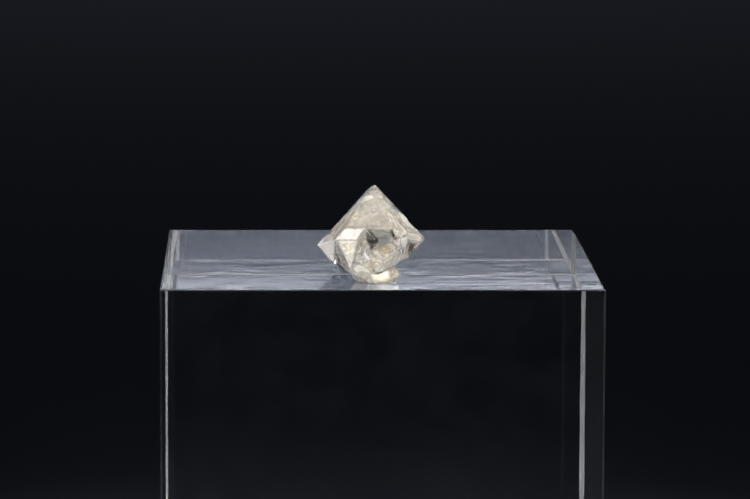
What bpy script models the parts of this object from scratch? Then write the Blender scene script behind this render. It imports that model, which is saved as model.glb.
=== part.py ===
"""Natural quartz crystal on a clear acrylic display block.

Three pieces, none of which moves:
  acrylic_block   a solid polished block that everything stands on
  mounting_wax    a pressed dab of wax between the block and the crystal
  quartz_crystal  a doubly terminated crystal with a broken lower end

Metres, +Z up. The origin is the middle of the block's base and the front looks to -Y.
"""

from math import cos, exp, radians, sin

import bmesh
import bpy
from mathutils import Matrix, Vector, noise

MM = 0.001
GAP = 0.3 * MM              # clearance between pieces that touch

# ---- acrylic block ----
BLOCK_WIDTH = 50 * MM       # along X
BLOCK_DEPTH = 50 * MM       # along Y
BLOCK_HEIGHT = 43 * MM
BLOCK_CHAMFER = 0.35 * MM   # polished arris on all twelve edges

# ---- quartz crystal: where it stands ----
CRYSTAL_CENTRE = Vector((-1.2 * MM, -18 * MM, BLOCK_HEIGHT + 4.25 * MM))
CRYSTAL_LEAN = radians(16.4)    # c axis tips away from the front
CRYSTAL_SPIN = radians(7.8)     # turn about the c axis, seen from above

# ---- quartz crystal: its faces ----
# Azimuths in degrees: 0 is the right side, 90 the front. Distances in mm from the centre.
PYRAMID_POLAR = 51.8        # angle between the c axis and a rhombohedral face's normal
UPPER_FACES = {30: 4.60, 90: 4.27, 150: 4.21, 210: 4.20, 270: 4.70, 330: 4.53}
LOWER_FACES = {30: 3.92, 90: 3.79, 150: 4.38, 210: 4.16, 270: 5.20, 330: 3.98}
PRISM_FACES = {30: 5.12, 90: 4.61, 150: 5.43, 210: 5.31, 270: 5.55, 330: 5.45}

# Faces that follow no crystal form: normal in the world's directions, distance in mm.
APEX_FACE = ((-0.50, -0.05, 0.86), 5.30)        # blunts the left of the tip
BREAK_FACES = (                                 # the lower end is broken off in three slopes
    ((-0.53, 0.10, -0.84), 4.05),
    ((-0.22, 0.16, -0.96), 3.40),
    ((0.42, 0.05, -0.91), 2.97),
)

# ---- quartz crystal: growth relief ----
# Each area is a face, how deep it lies below it in mm, and the sides that bound it there. A side
# is the way it faces on the crystal's face in degrees, 0 level and 90 up, and a point on it in mm.
LEDGES = (
    ("lower", 150, 0.20, ((123, 1.73, 2.82),)),
    ("lower", 90, 0.12, ((166, -1.22, 2.40),)),
    ("upper", 30, 0.09, ((184, 0.08, 2.85),)),
    ("upper", 150, 0.08, ((256, -2.88, -2.29),)),
    ("upper", 270, 0.14, ((150, 0.60, 1.00),)),
    ("lower", 270, 0.16, ((20, 0.40, 0.60),)),
    ("upper", 210, 0.10, ((250, 0.20, 0.30),)),
    ("lower", 330, 0.12, ((60, -0.50, 1.60),)),
)
WINDOWS = (
    ("prism", 90, 0.34, ((90, 1.50, 0.93), (205, 0.04, 0.93), (-10, 2.91, 0.89))),
    ("lower", 30, 0.80, ((90, 1.40, 2.73), (202, 0.97, 2.73), (18, 1.94, 2.74), (266, 1.41, 1.65))),
    ("upper", 270, 0.18, ((90, -1.20, 0.90), (210, -2.00, 0.20), (330, -0.60, 0.20))),
)
# Three-sided etch pits: face, along, up, reach from the middle to a side, depth.
PITS = (
    ("upper", 90, -1.70, 0.10, 0.20, 0.07),
    ("lower", 90, -2.60, 1.70, 0.18, 0.10),
    ("lower", 90, 0.90, 0.75, 0.26, 0.12),
    ("upper", 30, -1.20, 0.10, 0.22, 0.08),
    ("upper", 330, 0.40, 0.80, 0.30, 0.12),
    ("upper", 210, -0.90, 1.90, 0.24, 0.10),
    ("lower", 210, 0.20, 1.50, 0.30, 0.12),
)
RELIEF_DRAFT = radians(28)      # how far an area's sides slope outwards

# ---- quartz crystal: damage ----
# Shell-shaped breaks and chips: centre and radii in mm, turn about Y in degrees, seed.
BREAKS = (
    ((-3.75, -1.2, -3.75), (1.7, 2.4, 0.95), 30, 3),
    ((-2.1, 1.6, -4.2), (2.2, 2.0, 1.1), 16, 5),
    ((1.45, -2.3, -3.65), (1.25, 1.5, 1.0), -30, 8),
    ((3.55, -0.6, -2.55), (1.7, 2.2, 0.9), -24, 13),
    ((2.0, 2.0, -3.0), (1.9, 1.8, 1.0), -18, 17),
)
CHIPS = (
    ((4.72, -0.25, 2.84), (1.45, 0.85, 0.72), 47, 21),
    ((-5.45, 0.30, 1.25), (0.80, 0.60, 0.34), -48, 23),
    ((0.20, -2.15, 4.15), (0.42, 0.50, 0.34), 30, 27),
    ((-4.05, -0.9, -2.55), (0.60, 0.80, 0.36), 46, 29),
    ((4.75, -0.9, -1.25), (0.70, 0.90, 0.42), -44, 31),
)

# ---- mounting wax ----
WAX_CENTRE = Vector((-0.75 * MM, -18.15 * MM, BLOCK_HEIGHT + 0.80 * MM))
WAX_RADII = (2.42 * MM, 2.5 * MM, 1.6 * MM)
# Lumps pressed out of the dab: direction, rise as a share of the radius, tightness.
WAX_LUMPS = (
    ((0.30, -0.95, -0.09), 0.14, 9.0),
    ((1.0, 0.1, 0.55), 0.06, 5.0),
    ((-0.9, -0.5, -0.2), 0.08, 8.0),
    ((-0.2, 1.0, 0.3), 0.12, 6.0),
)


def clear_scene():
    for item in list(bpy.data.objects):
        bpy.data.objects.remove(item, do_unlink=True)


def collection(name):
    group = bpy.data.collections.new(name)
    bpy.context.scene.collection.children.link(group)
    return group


def material(name, colour, roughness, alpha=1.0):
    finish = bpy.data.materials.new(name)
    finish.use_nodes = True
    shader = finish.node_tree.nodes["Principled BSDF"]
    shader.inputs["Base Color"].default_value = (*colour, 1.0)
    shader.inputs["Roughness"].default_value = roughness
    shader.inputs["Metallic"].default_value = 0.0
    shader.inputs["Alpha"].default_value = alpha
    return finish


def solid(name, bm, group, finish=None, matrix=Matrix()):
    """Make an object of a bmesh built in millimetres."""
    bmesh.ops.scale(bm, vec=(MM, MM, MM), verts=bm.verts)
    mesh = bpy.data.meshes.new(name)
    bm.to_mesh(mesh)
    bm.free()
    item = bpy.data.objects.new(name, mesh)
    item.matrix_world = matrix
    if finish:
        mesh.materials.append(finish)
    group.objects.link(item)
    return item


def cutter(name, bm, group, matrix=Matrix()):
    item = solid(name, bm, group, matrix=matrix)
    item.hide_render = True
    item.display_type = "WIRE"
    return item


def cut(target, tool, operation="DIFFERENCE"):
    step = target.modifiers.new(tool.name, "BOOLEAN")
    step.operation = operation
    step.solver = "EXACT"
    step.object = tool


def keep_inside(bm, normal, distance):
    """Cut a convex solid flat along a plane and cap the opening."""
    everything = bm.verts[:] + bm.edges[:] + bm.faces[:]
    sliced = bmesh.ops.bisect_plane(
        bm, geom=everything, plane_co=normal * distance, plane_no=normal, clear_outer=True)
    rim = [piece for piece in sliced["geom_cut"] if isinstance(piece, bmesh.types.BMEdge)]
    if rim:
        bmesh.ops.contextual_create(bm, geom=rim)


def roughen(bm, amount, size, seed):
    """Push each vertex along its normal by smooth noise, to give a rippled break or a soft dab."""
    bm.normal_update()
    shift = Vector((seed, seed * 0.37, -seed * 0.61))
    for vert in bm.verts:
        vert.co += vert.normal * amount * noise.noise(vert.co / size + shift)


# ---- the block ----

def make_block(group):
    bm = bmesh.new()
    bmesh.ops.create_cube(bm, size=1.0)
    size = Vector((BLOCK_WIDTH, BLOCK_DEPTH, BLOCK_HEIGHT)) / MM
    bmesh.ops.scale(bm, vec=size, verts=bm.verts)
    bmesh.ops.translate(bm, vec=(0, 0, size.z / 2), verts=bm.verts)
    block = solid("acrylic_block", bm, group, material("clear_acrylic", (0.80, 0.83, 0.88), 0.03, 0.3))
    arris = block.modifiers.new("polished_arris", "BEVEL")
    arris.width = BLOCK_CHAMFER
    arris.segments = 1
    return block


# ---- the crystal ----

def crystal_matrix():
    lean = Matrix.Rotation(-CRYSTAL_LEAN, 4, "X")
    spin = Matrix.Rotation(-CRYSTAL_SPIN, 4, "Z")
    return Matrix.Translation(CRYSTAL_CENTRE) @ lean @ spin


def face_normal(kind, azimuth):
    """A face's outward normal in the crystal's own frame, with the c axis along +Z."""
    polar = {"upper": PYRAMID_POLAR, "prism": 90, "lower": 180 - PYRAMID_POLAR}[kind]
    tilt, turn = radians(polar), radians(azimuth)
    return Vector((sin(tilt) * cos(turn), -sin(tilt) * sin(turn), cos(tilt)))


def face_distance(kind, azimuth):
    return {"upper": UPPER_FACES, "prism": PRISM_FACES, "lower": LOWER_FACES}[kind][azimuth]


def on_face(kind, azimuth):
    """Frame on a face: X runs level along it, Y climbs it and Z points out of the crystal."""
    out = face_normal(kind, azimuth)
    level = Vector((0, 0, 1)).cross(out).normalized()
    climb = out.cross(level)
    axes = Matrix((level, climb, out)).transposed().to_4x4()
    return Matrix.Translation(out * face_distance(kind, azimuth)) @ axes


def faceted_body(grow):
    """The whole crystal before it was damaged, with every face moved out by grow (mm)."""
    bm = bmesh.new()
    bmesh.ops.create_cube(bm, size=40)
    for kind, faces in (("upper", UPPER_FACES), ("prism", PRISM_FACES), ("lower", LOWER_FACES)):
        for azimuth, distance in faces.items():
            keep_inside(bm, face_normal(kind, azimuth), distance + grow)
    to_own_frame = crystal_matrix().to_3x3().inverted()
    for direction, distance in (APEX_FACE, *BREAK_FACES):
        keep_inside(bm, to_own_frame @ Vector(direction).normalized(), distance + grow)
    return bm


def break_cutters(group, places, grow):
    """Rippled ellipsoids that take shell-shaped pieces away."""
    tools = []
    for centre, radii, turn, seed in places:
        bm = bmesh.new()
        bmesh.ops.create_icosphere(bm, subdivisions=4 if max(radii) > 1.5 else 3, radius=1.0)
        bmesh.ops.scale(bm, vec=[radius - grow for radius in radii], verts=bm.verts)
        roughen(bm, 0.2 * min(radii), 0.8, seed)
        place = Matrix.Translation(CRYSTAL_CENTRE + Vector(centre) * MM)
        place = place @ Matrix.Rotation(radians(turn), 4, "Y")
        tools.append(cutter(f"break_{seed}_{round(grow * 10)}", bm, group, place))
    return tools


def sunk_area(name, group, kind, azimuth, depth, sides):
    """All that lies above a plane sunk into a face and between sloping sides."""
    out = Vector((0, 0, 1))
    bm = bmesh.new()
    bmesh.ops.create_cube(bm, size=40)
    keep_inside(bm, -out, depth)
    for facing, along, up in sides:
        turn = radians(facing)
        across = Vector((cos(turn), sin(turn), 0))
        slope = across * cos(RELIEF_DRAFT) - out * sin(RELIEF_DRAFT)
        keep_inside(bm, slope, slope.dot(Vector((along, up, 0))))
    local = on_face(kind, azimuth)
    local.translation *= MM
    return cutter(name, bm, group, crystal_matrix() @ local)


def pit_sides(along, up, reach):
    return [(facing, along + reach * cos(radians(facing)), up + reach * sin(radians(facing)))
            for facing in (30, 150, 270)]


def relief_cutters(group):
    areas = list(LEDGES + WINDOWS)
    for kind, azimuth, along, up, reach, depth in PITS:
        areas.append((kind, azimuth, depth, pit_sides(along, up, reach)))
    return [sunk_area(f"relief_{number}", group, *area) for number, area in enumerate(areas, start=1)]


def make_crystal(group, cutters):
    finish = material("quartz", (0.80, 0.78, 0.74), 0.05, 0.6)
    crystal = solid("quartz_crystal", faceted_body(0), group, finish, crystal_matrix())
    for tool in relief_cutters(cutters) + break_cutters(cutters, BREAKS + CHIPS, 0):
        cut(crystal, tool)
    return crystal


# ---- the wax ----

def wax_dab():
    """A squashed ball with lumps, flat underneath, in mm about its own centre."""
    bm = bmesh.new()
    bmesh.ops.create_icosphere(bm, subdivisions=4, radius=1.0)
    for vert in bm.verts:
        ray = vert.co.normalized()
        rise = sum(
            height * exp(tight * (ray.dot(Vector(towards).normalized()) - 1))
            for towards, height, tight in WAX_LUMPS)
        vert.co = ray * (1 + rise)
    bmesh.ops.scale(bm, vec=[radius / MM for radius in WAX_RADII], verts=bm.verts)
    roughen(bm, 0.16, 1.3, 4)
    floor = (WAX_CENTRE.z - BLOCK_HEIGHT - GAP) / MM
    keep_inside(bm, Vector((0, 0, -1)), floor)
    return bm


def make_wax(group, cutters):
    finish = material("museum_wax", (0.78, 0.75, 0.66), 0.4)
    wax = solid("mounting_wax", wax_dab(), group, finish, Matrix.Translation(WAX_CENTRE))
    wax.data.shade_smooth()
    seat = cutter("crystal_seat", faceted_body(GAP / MM), cutters, crystal_matrix())
    for tool in break_cutters(cutters, BREAKS, GAP / MM):
        cut(seat, tool)
    cut(wax, seat)
    return wax


def main():
    clear_scene()
    specimen = collection("quartz_on_acrylic_block")
    cutters = collection("cutters")
    make_block(specimen)
    make_crystal(specimen, cutters)
    make_wax(specimen, cutters)


main()
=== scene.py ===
"""Looks of a natural quartz crystal, waxed to a clear acrylic display block.

Metres, +Z up, the front looks to -Y. Lengths written as a number times MM are in millimetres.
"""

from math import cos, exp, pi, radians, sin, tan

import bmesh
import bpy
from mathutils import Matrix, Vector, noise
from mathutils.bvhtree import BVHTree


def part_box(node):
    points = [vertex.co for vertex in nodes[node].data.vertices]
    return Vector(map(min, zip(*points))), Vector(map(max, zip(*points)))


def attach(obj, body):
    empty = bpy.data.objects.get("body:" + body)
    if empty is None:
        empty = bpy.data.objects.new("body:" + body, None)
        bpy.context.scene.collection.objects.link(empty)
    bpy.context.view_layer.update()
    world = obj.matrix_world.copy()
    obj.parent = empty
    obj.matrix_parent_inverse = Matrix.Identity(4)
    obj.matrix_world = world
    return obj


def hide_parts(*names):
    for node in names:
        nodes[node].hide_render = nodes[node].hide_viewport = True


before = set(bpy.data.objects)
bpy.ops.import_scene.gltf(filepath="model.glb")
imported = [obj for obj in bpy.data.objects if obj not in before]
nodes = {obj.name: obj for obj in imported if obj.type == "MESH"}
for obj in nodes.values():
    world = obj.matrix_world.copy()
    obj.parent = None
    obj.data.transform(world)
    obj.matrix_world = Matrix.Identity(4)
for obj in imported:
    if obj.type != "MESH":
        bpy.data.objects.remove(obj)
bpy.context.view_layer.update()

MM = 0.001
SAME_SPOT = 0.002 * MM              # corners nearer than this are one
block_low, block_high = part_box("acrylic_block")
BLOCK_TOP = block_high.z

# ---- camera ----
CAMERA_PLACE = Vector((-13.6, -496.9, 113.95)) * MM
CAMERA_YAW = radians(1.536)         # towards +X
CAMERA_PITCH = radians(8.005)       # downwards
CAMERA_ROLL = radians(0.22)
CAMERA_LENS = 204.76                # mm, on a sensor 36 mm wide

# ---- crystal: how it stands, as in the frame ----
CRYSTAL_CENTRE = Vector((-1.2 * MM, -18 * MM, BLOCK_TOP + 4.25 * MM))
CRYSTAL_LEAN = radians(16.4)
CRYSTAL_SPIN = radians(7.8)
PYRAMID_POLAR = 51.8                # degrees between the long axis and a pyramid face's normal
QUARTZ_IOR = 1.544
CRYSTAL_EDGE = 0.03 * MM            # width of the wear on its edges
ANGLES_OF_RELIEF = (radians(1), radians(25))    # between small faces that show as one rolling skin
ANGLE_OF_EDGE = radians(18)         # least angle of an edge that is worn

# ---- lights: name, place and aim from the crystal mm, size mm, radiance, colour, spread ----
SOFTBOXES = (
    ("overhead_softbox", (0, -12, 100), (0, 0, 0), (90, 90), 3.6, "#fff9f0", 42),
    ("back_softbox", (10, 95, 115), (0, 0, 0), (80, 80), 5.0, "#f6f7ff", 40),
    ("far_table_softbox", (0, 1100, 600), (0, 1100, 0), (600, 600), 0.14, "#f2f4ff", 120),
)
# These light the specimen alone, as lamps do that are flagged off the table.
SPECIMEN_SOFTBOXES = (
    ("front_top_softbox", (0, -150, 190), (0, 0, 0), (120, 120), 6.5, "#fffdf9", 170),
    ("left_high_softbox", (-190, -30, 190), (0, 0, 0), (120, 120), 8.0, "#fffdf9", 170),
    ("right_high_softbox", (190, -30, 190), (0, 0, 0), (120, 120), 16.0, "#fffdf9", 170),
    ("front_fill", (0, -620, 141), (0, 0, 0), (320, 100), 3.8, "#ebeef7", 170),
)
# These are flagged off the block as well.
CRYSTAL_SOFTBOXES = (
    ("front_left_softbox", (-185, -240, 25), (0, 0, 0), (140, 140), 25.0, "#fffdf9", 170),
    ("front_right_softbox", (195, -225, 35), (0, 0, 0), (140, 140), 19.0, "#fffdf9", 170),
)
FLOOR_COLOUR = "#9aa5b8"
FLOOR_GAP = 0.08 * MM
ROOM_COLOUR = "#a3a3a9"
ROOM_LIGHT = 0.018

# ---- block ----
ACRYLIC_IOR = 1.49
ARRIS = 0.24 * MM               # mean width of its scraped edges
ARRIS_WEAR = 0.30               # how much that width wanders, as a share
ARRIS_WAVES = (9 * MM, 2.4 * MM)    # lengths of the long and the short wander
BACK_ARRIS = (0.55, 1.25)       # widths of the two upright back edges as shares: left, right
FRONT_ARRIS = 0.5               # the top front edge is the finest
EDGE_SLICES = 44                # along each edge, so that its width can wander
SQUARE_ON = 0.9                 # least share of a face's normal along an axis that it looks along

# Finishes of the block: roughness, bumpiness, matt share, haze, and polishing lines to the metre
# along X, Y and Z. Real ones lie a tenth of a millimetre apart, which is too fine to show, so they
# are drawn 1.5 mm apart or more.
BLOCK_FINISHES = {
    # cast against glass: clear and mirror-like
    "cast_acrylic": (0.0, 0.12, 0.0, 0.003, (300, 300, 300)),
    # scraped with a blade: a soft grey line along the edge
    "scraped_acrylic": (0.45, 0.3, 0.0, 0.0, (400, 400, 400)),
    # sawn and left: whitish and rough
    "sawn_acrylic": (0.5, 0.5, 0.6, 0.1, (400, 400, 400)),
    # the underside, wet-ground and polished: clear, with long faint waves
    "ground_acrylic": (0.0, 0.03, 0.0, 0.0, (110, 650, 110)),
    # the top, buffed from side to side: clear, with a light haze in streaks
    "buffed_acrylic": (0.0, 0.12, 0.0, 0.04, (110, 650, 25)),
    # the sides, dulled a little by wiping
    "wiped_acrylic": (0.0, 0.12, 0.06, 0.04, (60, 500, 90)),
    # rubbed white where the foot's edge meets the table
    "chalky_acrylic": (0.5, 0.5, 0.95, 0.05, (400, 400, 400)),
    # the top front edge, scraped and then rubbed matt
    "matt_scraped_acrylic": (1.0, 0.3, 0.0, 0.0, (400, 400, 400)),
}

# ---- wax ----
WAX_CENTRE = Vector((-0.75 * MM, -18.15 * MM, BLOCK_TOP + 0.80 * MM))
WAX_RADII = Vector((2.42, 2.5, 1.6)) * MM
# Its lumps: which way each points, how far it rises and how narrow it is. The first is cream.
WAX_LUMPS = (
    ((0.30, -0.95, -0.09), 0.14, 9.0),
    ((1.0, 0.1, 0.55), 0.06, 5.0),
    ((-1.0, -0.35, 0.25), 0.20, 7.0),
    ((-0.2, 1.0, 0.3), 0.12, 6.0),
)
WAX_DENTS = (0.20 * MM, 1.1 * MM)       # depth and length of the finger dents
WAX_CRUMPLE = (0.14 * MM, 0.45 * MM)    # depth and length of the fine crumple on them
WAX_OVER_BLOCK = 0.004 * MM
WAX_OFF_CRYSTAL = 0.01 * MM

# ---- films inside the crystal: lighter colour, darker colour, patches mm, least cover,
# share of light let through, and how much the cover comes and goes ----
FILMS = {
    # a healed fracture: a sheet of tiny trapped bubbles, white and patchy
    "healed_fracture": ("#fbf8f1", "#e9e5e0", 0.55, 0.35, 0.40, 0.55),
    # the same, finer and more even
    "milky_veil": ("#f9f5ef", "#edeae6", 1.0, 0.70, 0.40, 0.30),
    # clouded quartz under the upper face: fluid specks, greyer than the rest
    "clouded_quartz": ("#e8e3da", "#cdc8c0", 0.8, 0.60, 0.40, 0.35),
    # frosted growth skin: even and nearly white
    "frosted_skin": ("#fdfbf7", "#e2e0de", 0.7, 0.80, 0.20, 0.15),
    # clay in a crack: cream
    "cream_clay": ("#fff9e8", "#f6ecd0", 0.30, 0.40, 0.25, 0.40),
    # limonite: yellow-brown stain in a crack
    "limonite_stain": ("#d2c49c", "#a2926a", 0.28, 0.10, 0.30, 0.50),
    # a thin grey film that dulls what lies behind it
    "grey_film": ("#c4c1bc", "#8e8b88", 0.40, 0.45, 0.30, 0.40),
    # a slate-grey film, closed and even
    "slate_film": ("#a4a4a4", "#737475", 0.60, 0.75, 0.10, 0.20),
    # soot in a fine crackle: dark flecks with clear quartz between them
    "sooty_crackle": ("#5b5852", "#2c2a28", 0.16, 0.0, 0.15, 0.85),
    # carbon and painted shadow in an open crack
    "smoky_film": ("#45433f", "#1f1e1c", 0.30, 0.65, 0.10, 0.20),
}

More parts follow.
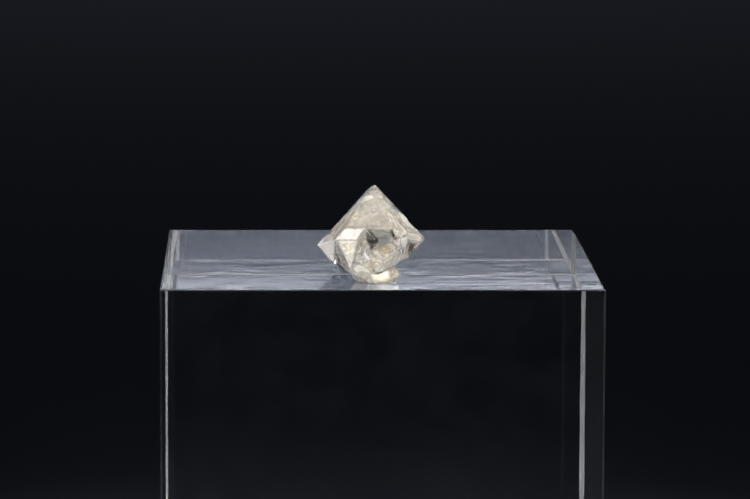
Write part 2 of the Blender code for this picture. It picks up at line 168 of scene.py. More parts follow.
# ---- the sheets: film, face, azimuth, depth mm, feather mm, bend mm, density, grain mm, then the
# outline: its corners on the face in mm, level and up ----
SHEETS = (
    # upper front face: clouds at four depths, then what lies just under the skin
    ("clouded_quartz", "upper", 90, 0.8, 1.2, 0.25, 0.7, 1.2,
     ((-5.5, -3.5), (5.5, -3.5), (4.0, 2.0), (0.5, 6.2), (-4.0, 2.0))),
    ("clouded_quartz", "upper", 90, 2.1, 1.3, 0.40, 1.1, 1.4,
     ((-5.5, -3.5), (5.5, -3.5), (4.0, 2.0), (0.5, 6.2), (-4.0, 2.0))),
    ("clouded_quartz", "upper", 90, 3.6, 1.2, 0.45, 1.3, 1.2,
     ((-5.0, -5.0), (5.0, -5.0), (5.0, 4.0), (-5.0, 4.0))),
    ("clouded_quartz", "upper", 90, 5.2, 1.2, 0.45, 1.4, 0.9,
     ((-4.5, -5.0), (4.5, -5.0), (4.5, 4.0), (-4.5, 4.0))),
    ("clouded_quartz", "upper", 90, 0.25, 0.6, 0.05, 0.5, 0.6,
     ((-3.0, -1.9), (3.4, -1.9), (1.7, 1.2), (-1.4, 0.9))),
    ("clouded_quartz", "upper", 90, 0.35, 0.5, 0.05, 0.6, 0.35,
     ((-2.4, -1.6), (2.8, -1.7), (0.9, 3.2), (-0.3, 3.4))),
    ("grey_film", "upper", 90, 0.15, 0.35, 0.05, 0.45, 0.6,
     ((0.6, 4.7), (1.4, 3.9), (3.0, 0.9), (2.4, 0.6))),
    ("grey_film", "upper", 90, 0.12, 0.25, 0.05, 0.5, 0.4,
     ((0.15, 5.3), (-0.35, 4.2), (-1.5, 1.6), (-0.8, 1.4))),
    ("smoky_film", "upper", 90, 0.06, 0.06, 0.0, 0.8, 0.6,
     ((0.20, 1.05), (0.37, 1.08), (0.76, 0.42), (0.60, 0.33))),
    ("cream_clay", "upper", 90, 0.20, 0.80, 0.05, 0.6, 0.5,
     ((-2.8, 0.4), (-1.1, 1.6), (-0.6, -0.6), (-2.4, -1.5))),
    # upper right and upper left faces
    ("healed_fracture", "upper", 30, 0.4, 0.6, 0.20, 1.5, 0.7,
     ((-2.6, -3.0), (2.6, -3.0), (1.6, 1.6), (-0.2, 4.4))),
    ("frosted_skin", "upper", 30, 0.06, 0.30, 0.0, 1.8, 0.7,
     ((1.0, 1.2), (2.3, 0.7), (3.0, -1.4), (1.7, -1.7), (0.6, -0.7))),
    ("milky_veil", "upper", 30, 0.15, 0.15, 0.0, 0.8, 1.4,
     ((0.1, -1.8), (2.9, -1.4), (2.9, -2.9), (1.9, -3.4), (-0.9, -3.9))),
    ("milky_veil", "upper", 150, 0.4, 0.5, 0.15, 1.5, 0.7,
     ((-2.6, -3.2), (1.2, -3.2), (1.4, 4.4), (-0.8, 3.4))),
    ("milky_veil", "upper", 150, 0.10, 0.2, 0.0, 0.8, 1.2,
     ((-3.2, -3.24), (-2.62, -1.61), (-0.1, -2.09), (2.46, -3.71))),
    # front prism face: white on the left, a dark window with a white streak on the right
    ("frosted_skin", "prism", 90, 0.03, 0.12, 0.0, 0.95, 0.5,
     ((-3.10, 1.11), (-0.12, 1.09), (-1.17, -0.27), (-3.56, -0.22))),
    ("slate_film", "prism", 90, 0.16, 0.12, 0.0, 1.05, 0.8,
     ((-0.05, 1.04), (2.95, 1.00), (2.9, -0.6), (0.05, -0.6))),
    ("smoky_film", "prism", 90, 0.10, 0.22, 0.0, 1.0, 0.5,
     ((-0.12, 0.90), (0.45, 1.00), (1.40, -0.22), (1.3, -0.55), (-0.12, -0.55))),
    ("smoky_film", "prism", 90, 0.05, 0.10, 0.0, 1.3, 0.5,
     ((2.50, 0.95), (2.97, 0.88), (3.55, -0.52), (2.92, -0.20))),
    ("frosted_skin", "prism", 90, 0.04, 0.07, 0.0, 1.1, 0.6,
     ((-0.33, 1.06), (-0.19, 1.06), (0.99, -0.10), (0.85, -0.20))),
    ("milky_veil", "prism", 90, 0.20, 0.15, 0.0, 0.8, 0.5,
     ((2.95, 0.98), (3.7, 0.95), (4.1, -0.42), (3.5, -0.45))),
    # lower front face: a grey ridge, yellow-brown and cream patches, white scars
    ("healed_fracture", "lower", 90, 0.35, 0.30, 0.06, 1.3, 0.5,
     ((-3.6, 2.7), (3.9, 2.7), (3.9, 0.4), (1.0, -3.2), (-1.2, -3.2), (-2.5, -1.0))),
    ("frosted_skin", "lower", 90, 0.08, 0.10, 0.02, 1.2, 0.4,
     ((-3.53, 2.61), (-1.06, 2.57), (-1.62, 0.23), (-2.15, -1.17))),
    ("cream_clay", "lower", 90, 0.05, 0.55, 0.0, 0.9, 0.3,
     ((-3.3, 2.5), (-1.3, 2.5), (-1.5, 0.5), (-2.4, 0.0))),
    ("grey_film", "lower", 90, 0.06, 0.14, 0.0, 1.0, 0.4,
     ((-1.02, 2.62), (-0.45, 2.60), (-1.45, -0.1), (-1.85, -0.5))),
    ("grey_film", "lower", 90, 0.07, 0.14, 0.0, 0.9, 0.4,
     ((-0.75, 2.62), (-0.05, 2.62), (-0.5, 1.7), (-1.05, 1.3))),
    ("grey_film", "lower", 90, 0.12, 0.40, 0.0, 0.8, 0.35,
     ((-0.85, 1.75), (0.05, 2.50), (0.25, 1.0), (0.20, -0.26), (-1.05, 0.20), (-1.3, 0.8))),
    ("frosted_skin", "lower", 90, 0.03, 0.08, 0.0, 0.9, 0.4,
     ((-1.45, 2.5), (-1.2, 2.5), (-1.6, 0.6), (-1.85, 0.6))),
    ("frosted_skin", "lower", 90, 0.04, 0.09, 0.0, 1.2, 0.4,
     ((-0.48, 1.00), (-0.22, 0.92), (0.30, 0.13), (0.11, -0.22), (-0.37, 0.28))),
    ("frosted_skin", "lower", 90, 0.04, 0.07, 0.0, 0.9, 0.4,
     ((-0.12, 1.9), (0.06, 1.9), (-0.52, 0.0), (-0.70, 0.1))),
    ("smoky_film", "lower", 90, 0.08, 0.25, 0.0, 1.0, 0.4,
     ((-0.05, 2.65), (1.35, 2.65), (1.05, 1.70), (0.51, 1.06), (0.08, 1.43))),
    ("slate_film", "lower", 90, 0.15, 0.25, 0.0, 0.95, 0.6,
     ((0.9, 2.68), (2.95, 2.62), (2.65, 1.95), (1.25, 1.50))),
    ("limonite_stain", "lower", 90, 0.08, 0.45, 0.0, 1.0, 0.25,
     ((1.1, 1.9), (2.9, 2.15), (2.9, 0.8), (1.57, 0.1), (0.9, 1.02))),
    ("limonite_stain", "lower", 90, 0.06, 0.14, 0.0, 1.3, 0.4,
     ((0.10, -0.42), (0.78, -0.30), (0.60, -0.92), (0.06, -0.93))),
    ("cream_clay", "lower", 90, 0.14, 0.40, 0.0, 0.9, 0.35,
     ((0.30, 0.25), (2.6, 0.35), (2.5, -0.73), (0.36, -0.88))),
    ("cream_clay", "lower", 90, 0.12, 0.45, 0.0, 0.9, 0.35,
     ((-0.9, -0.1), (0.5, -0.15), (0.5, -1.55), (-0.9, -1.7))),
    ("frosted_skin", "lower", 90, 0.10, 0.35, 0.0, 1.0, 0.35,
     ((2.75, 2.55), (3.95, 2.55), (3.9, 0.85), (3.0, 0.85))),
    ("milky_veil", "lower", 90, 0.10, 0.40, 0.0, 1.7, 0.4,
     ((-2.19, -1.04), (-1.09, -0.23), (0.41, -1.3), (0.09, -2.46), (-1.05, -2.43))),
    # lower left face: white tip, and a dark crackled triangle below it
    ("frosted_skin", "lower", 150, 0.06, 0.08, 0.0, 1.5, 1.5,
     ((-2.70, 3.37), (-0.48, 3.60), (1.95, 3.12), (-1.54, 0.75), (-1.91, 1.09))),
    ("healed_fracture", "lower", 150, 0.35, 0.15, 0.0, 1.6, 0.3,
     ((1.98, 2.97), (-1.45, 0.80), (-0.96, -0.75), (0.51, -1.0))),
    ("sooty_crackle", "lower", 150, 0.06, 0.15, 0.0, 0.55, 0.22,
     ((1.98, 2.97), (-1.30, 0.86), (-0.96, -0.59), (0.51, -0.81))),
    ("milky_veil", "lower", 150, 0.04, 0.10, 0.0, 1.0, 0.5,
     ((2.2, 3.25), (2.3, 2.85), (-1.30, 0.35), (-1.80, 0.60))),
    ("smoky_film", "lower", 150, 0.03, 0.12, 0.0, 0.75, 0.2,
     ((-0.1, 1.75), (0.27, 1.62), (-0.91, 0.05), (-1.45, 0.35))),
    ("smoky_film", "lower", 150, 0.03, 0.14, 0.0, 0.85, 0.2,
     ((-1.17, 0.62), (-0.91, 0.05), (-0.58, -0.68), (-0.95, -0.35))),
    ("smoky_film", "lower", 150, 0.03, 0.14, 0.0, 0.55, 0.2,
     ((0.12, 0.76), (0.5, 0.7), (0.0, -0.28), (-0.4, -0.3))),
    ("frosted_skin", "lower", 150, 0.03, 0.25, 0.0, 2.0, 0.8,
     ((-1.88, 1.94), (-0.12, 1.82), (-1.5, 0.85), (-1.95, 1.0))),
    ("milky_veil", "lower", 150, 0.20, 0.30, 0.0, 1.2, 0.4,
     ((-1.2, 0.1), (0.8, -0.4), (1.2, -2.4), (0.4, -2.8))),
    # lower right face: pale tip, and white scars round the old break
    ("clouded_quartz", "lower", 30, 0.12, 0.10, 0.0, 1.1, 1.6,
     ((-0.26, 3.77), (1.97, 4.09), (2.91, 3.61), (2.2, 2.85), (0.73, 2.75))),
    ("clouded_quartz", "lower", 30, 0.12, 0.10, 0.0, 1.1, 1.6,
     ((1.95, 2.95), (2.9, 3.3), (2.85, 2.1), (2.5, 2.2))),
    ("frosted_skin", "lower", 30, 0.05, 0.40, 0.0, 1.1, 0.4,
     ((-1.6, 3.4), (0.15, 3.45), (0.75, 2.68), (0.80, 1.90), (-0.25, 1.8))),
    ("milky_veil", "lower", 30, 0.10, 0.50, 0.0, 1.0, 0.5,
     ((-1.6, 1.9), (1.4, 1.7), (2.6, 1.2), (0.8, -1.8), (-1.4, -1.8))),
    ("frosted_skin", "lower", 30, 0.03, 0.06, 0.0, 1.4, 0.4,
     ((-0.07, 1.76), (0.17, 1.80), (0.66, 1.20), (0.43, 1.17))),
    ("frosted_skin", "lower", 30, 0.03, 0.06, 0.0, 1.4, 0.4,
     ((0.47, 1.94), (0.68, 2.01), (1.04, 1.42), (0.85, 1.39))),
    ("grey_film", "lower", 30, 0.06, 0.25, 0.0, 0.75, 0.3,
     ((-0.5, 1.87), (0.87, 1.87), (1.43, 1.21), (0.32, 0.9))),
    ("healed_fracture", "lower", 30, 0.30, 0.40, 0.10, 1.1, 0.35,
     ((-1.8, 2.2), (0.4, 2.0), (2.3, 1.2), (0.6, -0.4), (-1.4, -0.4))),
)
# All in mm:
SHEET_CELL = 0.07           # a sheet's grid is this fine, up to the number of cells below
SHEET_MOST_CELLS = 90
SHEET_BEND_WAVE = 1.6       # length of the bends
SHEET_RAGGED = (0.5, 0.17)  # lengths of the large and the small teeth along its outline
FOLLOWS_SKIN = 0.7          # sheets nearer than this follow the skin's relief
SEEK_SKIN_FROM = 3.0        # height over the face that the skin is looked for from
UNDER_SKIN = (0.004, 0.005)     # a sheet ends above the first depth and starts to show at the second
SKIN_FADE = 0.2             # it shows in full at 0.7 of its own depth, or of this where it lies deeper
SHEET_MARGIN = 0.12         # how far its mesh goes past its outline

# The old break on the lower right face: its corners on that face, and how deep it lies.
BREAK_OUTLINE = ((0.78, 2.80), (1.95, 2.88), (2.84, 2.12), (1.71, 1.58), (0.96, 2.02))
BREAK_DEPTHS = (0.05, 1.5)
BREAK_FINISH = 1            # its place among the crystal's materials

specimen = bpy.data.collections.new("specimen")
crystal_set = bpy.data.collections.new("crystal_and_wax")
bpy.context.scene.collection.children.link(specimen)
specimen.children.link(crystal_set)


# ---- small tools ----

def srgb(code):
    """Linear colour of an sRGB hex value."""
    parts = [int(code[start:start + 2], 16) / 255 for start in (1, 3, 5)]
    linear = [part / 12.92 if part <= 0.04045 else ((part + 0.055) / 1.055) ** 2.4 for part in parts]
    return (*linear, 1.0)


def add(tree, kind, inputs=None, **settings):
    """Add a node with its settings, and fill or link its inputs."""
    node = tree.nodes.new("ShaderNode" + kind)
    for name, value in settings.items():
        setattr(node, name, value)
    for name, value in (inputs or {}).items():
        if isinstance(value, bpy.types.NodeSocket):
            tree.links.new(value, node.inputs[name])
        else:
            node.inputs[name].default_value = value
    return node


def blank_material(name):
    finish = bpy.data.materials.new(name)
    finish.use_nodes = True
    finish.node_tree.nodes.clear()
    return finish, finish.node_tree


def piece(name, bm, finishes, replaced=None, group=crystal_set):
    """Make a finished piece of a bmesh that is already in place."""
    mesh = bpy.data.meshes.new(name)
    bm.to_mesh(mesh)
    bm.free()
    for finish in finishes:
        mesh.materials.append(finish)
    item = bpy.data.objects.new(name, mesh)
    group.objects.link(item)
    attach(item, "root")
    if replaced:
        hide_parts(replaced)
    return item


def smooth_step(value, low, high):
    share = min(1.0, max(0.0, (value - low) / (high - low)))
    return share * share * (3 - 2 * share)


# ---- camera, lights and floor ----

def make_camera():
    yaw, pitch, roll = CAMERA_YAW, CAMERA_PITCH, CAMERA_ROLL
    ahead = Vector((sin(yaw) * cos(pitch), cos(yaw) * cos(pitch), -sin(pitch)))
    right = Vector((cos(yaw), -sin(yaw), 0))
    up = right.cross(ahead)
    right, up = right * cos(roll) + up * sin(roll), up * cos(roll) - right * sin(roll)
    data = bpy.data.cameras.new("camera")
    data.lens = CAMERA_LENS
    data.clip_start = 0.01
    data.clip_end = 20.0
    camera = bpy.data.objects.new("camera", data)
    turn = Matrix((right, up, -ahead)).transposed().to_4x4()
    camera.matrix_world = Matrix.Translation(CAMERA_PLACE) @ turn
    bpy.context.scene.collection.objects.link(camera)
    bpy.context.scene.camera = camera


def softbox(name, offset, aim, size, radiance, colour, spread):
    """A soft lamp behind a grid. Radiance is what is seen from straight in front of it."""
    half = radians(spread) / 2
    width, height = size[0] * MM, size[1] * MM
    data = bpy.data.lights.new(name, "AREA")
    data.shape = "RECTANGLE"
    data.size = width
    data.size_y = height
    passed = 1 - half / tan(half)       # the share of its light that leaves the grid
    data.energy = radiance * pi * width * height * passed
    data.color = srgb(colour)[:3]
    data.spread = radians(spread)
    lamp = bpy.data.objects.new(name, data)
    lamp.location = CRYSTAL_CENTRE + Vector(offset) * MM
    lamp.rotation_euler = (Vector(aim) - Vector(offset)).to_track_quat("-Z", "Y").to_euler()
    lamp.visible_camera = False
    bpy.context.scene.collection.objects.link(lamp)
    return lamp


def make_lights():
    for box in SOFTBOXES:
        softbox(*box)
    for boxes, lit in ((SPECIMEN_SOFTBOXES, specimen), (CRYSTAL_SOFTBOXES, crystal_set)):
        for box in boxes:
            softbox(*box).light_linking.receiver_collection = lit
    world = bpy.data.worlds.new("dim_room")
    world.use_nodes = True
    background = world.node_tree.nodes["Background"]
    background.inputs["Color"].default_value = srgb(ROOM_COLOUR)
    background.inputs["Strength"].default_value = ROOM_LIGHT
    bpy.context.scene.world = world


def make_floor():
    bm = bmesh.new()
    bmesh.ops.create_grid(bm, x_segments=1, y_segments=1, size=2.0)
    bmesh.ops.translate(bm, vec=(0, 0, -FLOOR_GAP), verts=bm.verts)
    finish, tree = blank_material("pale_matt_board")
    surface = add(tree, "BsdfPrincipled", {"Base Color": srgb(FLOOR_COLOUR), "Roughness": 0.8})
    add(tree, "OutputMaterial", {"Surface": surface.outputs[0]})
    mesh = bpy.data.meshes.new("floor")
    bm.to_mesh(mesh)
    bm.free()
    mesh.materials.append(finish)
    floor = bpy.data.objects.new("floor", mesh)
    bpy.context.scene.collection.objects.link(floor)


# ---- materials ----

def cast_acrylic(name, roughness, bumpiness, matt, haze, lines):
    """Cast acrylic: water clear, faintly blue in depth, with polishing lines that catch some light."""
    finish, tree = blank_material(name)
    place = add(tree, "TexCoord").outputs["Object"]
    along = add(tree, "Mapping", {"Vector": place, "Scale": lines})
    height = add(tree, "TexNoise", {"Vector": along.outputs[0], "Scale": 1.0, "Detail": 4.0})
    bump = add(tree, "Bump", {"Height": height.outputs[0], "Strength": bumpiness, "Distance": 0.02 * MM})
    clear = add(tree, "MapRange", {
        "Value": height.outputs[0], "From Min": 0.38, "From Max": 0.66,
        "To Min": 1 - matt, "To Max": 1 - matt - haze})
    surface = add(tree, "BsdfPrincipled", {
        "Base Color": (1, 1, 1, 1), "Transmission Weight": clear.outputs[0], "IOR": ACRYLIC_IOR,
        "Roughness": roughness, "Normal": bump.outputs[0]})
    depth = add(tree, "VolumeAbsorption", {"Color": srgb("#d2e0f5"), "Density": 1.0})
    add(tree, "OutputMaterial", {"Surface": surface.outputs[0], "Volume": depth.outputs[0]})
    return finish


def rock_crystal():
    """Quartz as it grew: glassy, faintly warm in depth, lightly etched in patches of 0.4 mm."""
    finish, tree = blank_material("rock_crystal")
    place = add(tree, "TexCoord").outputs["Object"]
    etch = add(tree, "TexNoise", {"Vector": place, "Scale": 2.6 / MM, "Detail": 5.0, "Roughness": 0.6})
    bump = add(tree, "Bump", {"Height": etch.outputs[0], "Strength": 0.25, "Distance": 0.03 * MM})
    surface = add(tree, "BsdfPrincipled", {
        "Base Color": (1, 1, 1, 1), "Transmission Weight": 1.0, "IOR": QUARTZ_IOR,
        "Roughness": 0.05, "Normal": bump.outputs[0]})
    depth = add(tree, "VolumeAbsorption", {"Color": srgb("#f6efe2"), "Density": 5.0})
    add(tree, "OutputMaterial", {"Surface": surface.outputs[0], "Volume": depth.outputs[0]})
    return finish


def break_painted_shade():
    """An old break in the quartz: rough, with clay rubbed in as paler 0.3 mm specks, and painted dark
    for the shade in its recess.
    """
    finish, tree = blank_material("break_painted_shade")
    place = add(tree, "TexCoord").outputs["Object"]
    specks = add(tree, "TexNoise", {"Vector": place, "Scale": 3.2 / MM, "Detail": 5.0, "Roughness": 0.7})
    share = add(tree, "MapRange", {"Value": specks.outputs[0], "From Min": 0.42, "From Max": 0.66})
    colour = add(tree, "Mix", {
        "Factor": share.outputs[0], "A": srgb("#2f2d2b"), "B": srgb("#86817a")}, data_type="RGBA")
    bump = add(tree, "Bump", {"Height": specks.outputs[0], "Strength": 0.6, "Distance": 0.05 * MM})
    surface = add(tree, "BsdfPrincipled", {
        "Base Color": colour.outputs["Result"], "Roughness": 0.6, "IOR": 1.4, "Normal": bump.outputs[0]})
    add(tree, "OutputMaterial", {"Surface": surface.outputs[0]})
    return finish


def film(name, light, dark, grain, least, passing):
    """A film inside the crystal: patches between two colours, as dense as its attribute says."""
    finish, tree = blank_material(name)
    place = add(tree, "TexCoord").outputs["Object"]
    density = add(tree, "Attribute", attribute_name="cloudiness").outputs["Fac"]
    patches = add(tree, "TexNoise", {
        "Vector": place, "Scale": 1 / (grain * MM), "Detail": 6.0, "Roughness": 0.65})
    cover = add(tree, "MapRange", {
        "Value": patches.outputs[0], "From Min": 0.34, "From Max": 0.60, "To Min": least, "To Max": 1.0})
    alpha = add(tree, "Math", {0: density, 1: cover.outputs[0]}, operation="MULTIPLY", use_clamp=True)
    tone = add(tree, "TexNoise", {"Vector": place, "Scale": 0.45 / (grain * MM), "Detail": 3.0})
    share = add(tree, "MapRange", {"Value": tone.outputs[0], "From Min": 0.35, "From Max": 0.65})
    colour = add(tree, "Mix", {
        "Factor": share.outputs[0], "A": srgb(dark), "B": srgb(light)}, data_type="RGBA")
    surface = add(tree, "BsdfPrincipled", {
        "Base Color": colour.outputs["Result"], "Roughness": 1.0, "IOR": 1.3,
        "Transmission Weight": passing, "Alpha": alpha.outputs[0]})
    add(tree, "OutputMaterial", {"Surface": surface.outputs[0]})
    return finish


def museum_wax():
    """Microcrystalline wax pressed by hand: cream, softly glossy, grey and clearer where it is thin.

    Its mottle is about a millimetre across.
    """
    finish, tree = blank_material("museum_wax")
    place = add(tree, "TexCoord").outputs["Object"]
    cream = add(tree, "Attribute", attribute_name="cream").outputs["Fac"]
    mottle = add(tree, "TexNoise", {"Vector": place, "Scale": 0.9 / MM, "Detail": 4.0})
    share = add(tree, "MapRange", {"Value": mottle.outputs[0], "From Min": 0.38, "From Max": 0.62})
    thin = add(tree, "Mix", {
        "Factor": share.outputs[0], "A": srgb("#827e75"), "B": srgb("#bdb8ae")}, data_type="RGBA")
    colour = add(tree, "Mix", {
        "Factor": cream, "A": thin.outputs["Result"], "B": srgb("#b0aa9c")}, data_type="RGBA")
    bump = add(tree, "Bump", {"Height": mottle.outputs[0], "Strength": 0.3, "Distance": 0.08 * MM})
    clear = add(tree, "MapRange", {"Value": cream, "To Min": 0.45, "To Max": 0.0})
    surface = add(tree, "BsdfPrincipled", {
        "Base Color": colour.outputs["Result"], "Roughness": 0.35, "IOR": 1.45,
        "Transmission Weight": clear.outputs[0], "Subsurface Weight": 0.8,
        "Subsurface Radius": (1.0, 0.8, 0.5), "Subsurface Scale": 0.8 * MM, "Normal": bump.outputs[0]})
    add(tree, "OutputMaterial", {"Surface": surface.outputs[0]})
    return finish


# ---- the block ----

def slice_box(bm, size):
    """Cut a box into slices along each axis, so that its edges can wander."""
    for axis in range(3):
        normal = Vector((0, 0, 0))
        normal[axis] = 1
        for step in range(1, EDGE_SLICES):
            place = normal * size[axis] * (step / EDGE_SLICES - 0.5)
            geom = bm.verts[:] + bm.edges[:] + bm.faces[:]
            bmesh.ops.bisect_plane(bm, geom=geom, plane_co=place, plane_no=normal)


def wear_edges(bm, half, width):
    """Let the width of each bevelled edge wander along its length. Half is half the block's size."""
    for vert in bm.verts:
        gaps = [half[axis] - abs(vert.co[axis]) for axis in range(3)]
        near = [axis for axis in range(3) if gaps[axis] < width * 1.01]
        if len(near) < 2:
            continue
        spot = Vector(vert.co)
        for axis in near:
            spot[axis] = half[axis] if vert.co[axis] > 0 else -half[axis]
        wander = noise.noise(spot / ARRIS_WAVES[0]) + 0.5 * noise.noise(spot / ARRIS_WAVES[1])
        factor = 1 + ARRIS_WEAR * wander
        if 0 in near and 1 in near and vert.co.y > 0:
            factor *= BACK_ARRIS[vert.co.x > 0]
        if 1 in near and 2 in near and vert.co.y < 0 < vert.co.z:
            factor *= FRONT_ARRIS
        for axis in near:
            side = 1 if vert.co[axis] > 0 else -1
            vert.co[axis] = side * (half[axis] - gaps[axis] * factor)


def edge_finish(middle, size):
    """The finish of an edge face of the block, from where its middle is."""
    sawn = middle.y > size.y / 2 - ARRIS
    aside = abs(middle.x) > size.x / 2 - ARRIS
    foot = middle.z < ARRIS - size.z / 2
    lip = middle.z > size.z / 2 - ARRIS and middle.y < ARRIS - size.y / 2
    if foot:
        return "chalky_acrylic" if sawn or aside else "cast_acrylic"
    if sawn:
        return "sawn_acrylic"
    return "matt_scraped_acrylic" if lip else "scraped_acrylic"


def make_block():
    size = block_high - block_low
    bm = bmesh.new()
    bmesh.ops.create_cube(bm, size=1.0)
    bmesh.ops.scale(bm, vec=size, verts=bm.verts)
    slice_box(bm, size)
    sharp = [edge for edge in bm.edges if edge.calc_face_angle(0) > radians(45)]
    arris = bmesh.ops.bevel(
        bm, geom=sharp, affect="EDGES", offset=ARRIS, segments=1, profile=0.5, material=-1)
    number = list(BLOCK_FINISHES).index
    for face in arris["faces"]:
        face.material_index = number(edge_finish(face.calc_center_median(), size))
    for face in bm.faces:
        if abs(face.normal.z) > SQUARE_ON:
            face.material_index = number("buffed_acrylic" if face.normal.z > 0 else "ground_acrylic")
        elif abs(face.normal.x) > SQUARE_ON:
            face.material_index = number("wiped_acrylic")
    wear_edges(bm, size / 2, ARRIS)
    bmesh.ops.translate(bm, vec=(block_low + block_high) / 2, verts=bm.verts)
    finishes = [cast_acrylic(name, *look) for name, look in BLOCK_FINISHES.items()]
    return piece("display_block", bm, finishes, "acrylic_block", specimen)


# ---- the crystal ----

def make_crystal():
    bm = bmesh.new()
    bm.from_mesh(nodes["quartz_crystal"].data)
    bmesh.ops.remove_doubles(bm, verts=bm.verts, dist=SAME_SPOT)
    bmesh.ops.dissolve_limit(bm, angle_limit=ANGLES_OF_RELIEF[0], verts=bm.verts, edges=bm.edges)
    for face in bm.faces:
        angles = [edge.calc_face_angle(0) for edge in face.edges]
        face.smooth = any(ANGLES_OF_RELIEF[0] < angle < ANGLES_OF_RELIEF[1] for angle in angles)
    sharp = [edge for edge in bm.edges if edge.calc_face_angle(0) > ANGLE_OF_EDGE]
    rounded = bmesh.ops.bevel(
        bm, geom=sharp, affect="EDGES", offset=CRYSTAL_EDGE, offset_type="OFFSET", segments=2,
        profile=0.5, clamp_overlap=True, material=-1)
    for face in rounded["faces"]:
        face.smooth = False
    return piece("quartz_point", bm, [rock_crystal()], "quartz_crystal")


def crystal_matrix():
    lean = Matrix.Rotation(-CRYSTAL_LEAN, 4, "X")
    spin = Matrix.Rotation(-CRYSTAL_SPIN, 4, "Z")
    return Matrix.Translation(CRYSTAL_CENTRE) @ lean @ spin


def on_face(kind, azimuth, surface):
    """Frame on a face: X runs level along it, Y climbs it and Z points out of the crystal."""
    polar = {"upper": PYRAMID_POLAR, "prism": 90, "lower": 180 - PYRAMID_POLAR}[kind]
    tilt, turn = radians(polar), radians(azimuth)
    out = Vector((sin(tilt) * cos(turn), -sin(tilt) * sin(turn), cos(tilt)))
    level = Vector((0, 0, 1)).cross(out).normalized()
    climb = out.cross(level)
    axes = crystal_matrix() @ Matrix((level, climb, out)).transposed().to_4x4()
    outward = axes.to_3x3() @ Vector((0, 0, 1))
    distance = max(outward.dot(vert.co - CRYSTAL_CENTRE) for vert in surface.data.vertices)
    axes.translation = CRYSTAL_CENTRE + outward * distance
    return axes


def surface_tree(item):
    bm = bmesh.new()
    bm.from_mesh(item.data)
    tree = BVHTree.FromBMesh(bm)
    bm.free()
    return tree


def depth_inside(tree, point):
    """How far a point lies below the surface, negative outside."""
    spot, normal, _, _ = tree.find_nearest(point)
    away = (point - spot).dot(normal)
    return (spot - point).length * (1 if away < 0 else -1)


def inset(outline, point):
    """How far a point lies inside a convex outline."""
    middle = sum(outline, Vector((0, 0))) / len(outline)
    gaps = []
    for start, end in zip(outline, outline[1:] + outline[:1]):
        along = (end - start).normalized()
        side = 1 if along.cross(middle - start) > 0 else -1
        gaps.append(side * along.cross(point - start))
    return min(gaps)


def paint_shade_on_break(crystal):
    """Give the faces inside the old break their own finish, painted dark for the shade in its recess."""
    crystal.data.materials.append(break_painted_shade())
    to_face = on_face("lower", 30, crystal).inverted()
    outline = [Vector(corner) for corner in BREAK_OUTLINE]
    for face in crystal.data.polygons:
        spot = to_face @ face.center / MM
        if BREAK_DEPTHS[0] < -spot.z < BREAK_DEPTHS[1] and inset(outline, spot.xy) > 0:
            face.material_index = BREAK_FINISH


def make_sheet(crystal, tree, finish, comes_and_goes, number, name, kind, azimuth, depth, feather,
               bend, density, grain, corners):
    """A sheet at a depth below the crystal's skin that fades towards its outline and the skin."""
    place = on_face(kind, azimuth, crystal)
    inwards = place.to_3x3() @ Vector((0, 0, -1))
    outline = [Vector(corner) for corner in corners]
    low = Vector(map(min, *outline))
    size = Vector(map(max, *outline)) - low
    cells = [min(SHEET_MOST_CELLS, max(8, round(length / SHEET_CELL))) for length in size]
    bm = bmesh.new()
    bmesh.ops.create_grid(bm, x_segments=cells[0], y_segments=cells[1], size=0.5)
    layer = bm.verts.layers.float.new("cloudiness")
    seed = Vector((azimuth, depth * 7, number))
    outside = []
    for vert in bm.verts:
        flat = Vector((low.x + (vert.co.x + 0.5) * size.x, low.y + (vert.co.y + 0.5) * size.y, 0))
        above = place @ ((flat + Vector((0, 0, SEEK_SKIN_FROM))) * MM)
        _, _, skin, distance = tree.ray_cast(above, inwards)
        broken = skin is not None and crystal.data.polygons[skin].material_index == BREAK_FINISH
        if skin is not None and depth < FOLLOWS_SKIN:
            flat.z = SEEK_SKIN_FROM - distance / MM
        flat.z += bend * noise.noise(flat / SHEET_BEND_WAVE + seed) - depth
        vert.co = place @ (flat * MM)
        large, small = (noise.noise(flat / length + seed) for length in SHEET_RAGGED)
        reach = inset(outline, flat.xy) + (0.02 + 0.5 * feather) * (large + 0.8 * small)
        inside = depth_inside(tree, vert.co) / MM
        cloud = smooth_step(noise.noise(flat / grain + seed * 1.7), -0.35, 0.35)
        full = 0.7 * min(depth, SKIN_FADE)
        fade = smooth_step(reach, 0, feather) * smooth_step(inside, UNDER_SKIN[1], full)
        vert[layer] = density * fade * (1 - comes_and_goes * (1 - cloud))
        if broken or inside < UNDER_SKIN[0] or reach < -SHEET_MARGIN:
            outside.append(vert)
    bmesh.ops.delete(bm, geom=outside, context="VERTS")
    for face in bm.faces:
        face.smooth = True
    return piece(f"{name}_{number:02}", bm, [finish])


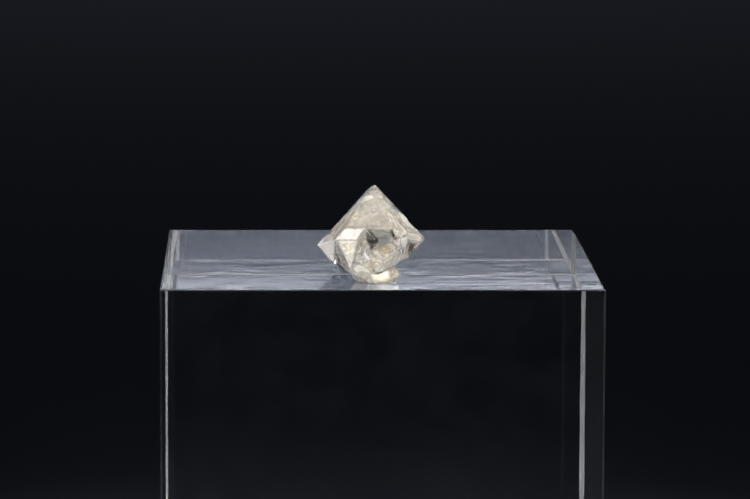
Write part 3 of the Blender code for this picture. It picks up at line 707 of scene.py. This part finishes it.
# ---- the wax ----

def make_wax(tree):
    bm = bmesh.new()
    bmesh.ops.create_icosphere(bm, subdivisions=6, radius=1.0)
    layer = bm.verts.layers.float.new("cream")
    for vert in bm.verts:
        ray = vert.co.normalized()
        lumps = [rise * exp(tight * (ray.dot(Vector(towards).normalized()) - 1))
                 for towards, rise, tight in WAX_LUMPS]
        spot = Vector(axis * radius for axis, radius in zip(ray * (1 + sum(lumps)), WAX_RADII))
        cream = smooth_step(lumps[0] / WAX_LUMPS[0][1], 0.25, 0.6)
        rough = 1 - 0.6 * cream         # a thumb has smoothed the cream lump
        spot += ray * rough * WAX_DENTS[0] * noise.noise(spot / WAX_DENTS[1] + Vector((4, 1.5, -2.4)))
        spot += ray * rough * WAX_CRUMPLE[0] * noise.noise(spot / WAX_CRUMPLE[1])
        vert.co = spot + WAX_CENTRE
        vert.co.z = max(vert.co.z, BLOCK_TOP + WAX_OVER_BLOCK)
        vert[layer] = max(cream, 0.45 * smooth_step(ray.x, 0.15, 0.6))
        nearest, normal, _, _ = tree.find_nearest(vert.co)
        if (vert.co - nearest).dot(normal) < WAX_OFF_CRYSTAL:
            vert.co = nearest + normal * WAX_OFF_CRYSTAL
    for face in bm.faces:
        face.smooth = True
    return piece("wax_dab", bm, [museum_wax()], "mounting_wax")


def set_render():
    scene = bpy.context.scene
    scene.view_settings.view_transform = "Standard"
    scene.cycles.max_bounces = 24
    scene.cycles.transmission_bounces = 24
    scene.cycles.glossy_bounces = 12
    scene.cycles.diffuse_bounces = 10
    scene.cycles.transparent_max_bounces = 48
    scene.cycles.sample_clamp_indirect = 10
    scene.cycles.use_denoising = True


set_render()
make_camera()
make_lights()
make_floor()
make_block()
crystal = make_crystal()
paint_shade_on_break(crystal)
crystal_tree = surface_tree(crystal)
films = {name: film(name, *look[:5]) for name, look in FILMS.items()}
for number, (name, *shape) in enumerate(SHEETS):
    make_sheet(crystal, crystal_tree, films[name], FILMS[name][5], number, name, *shape)
make_wax(crystal_tree)
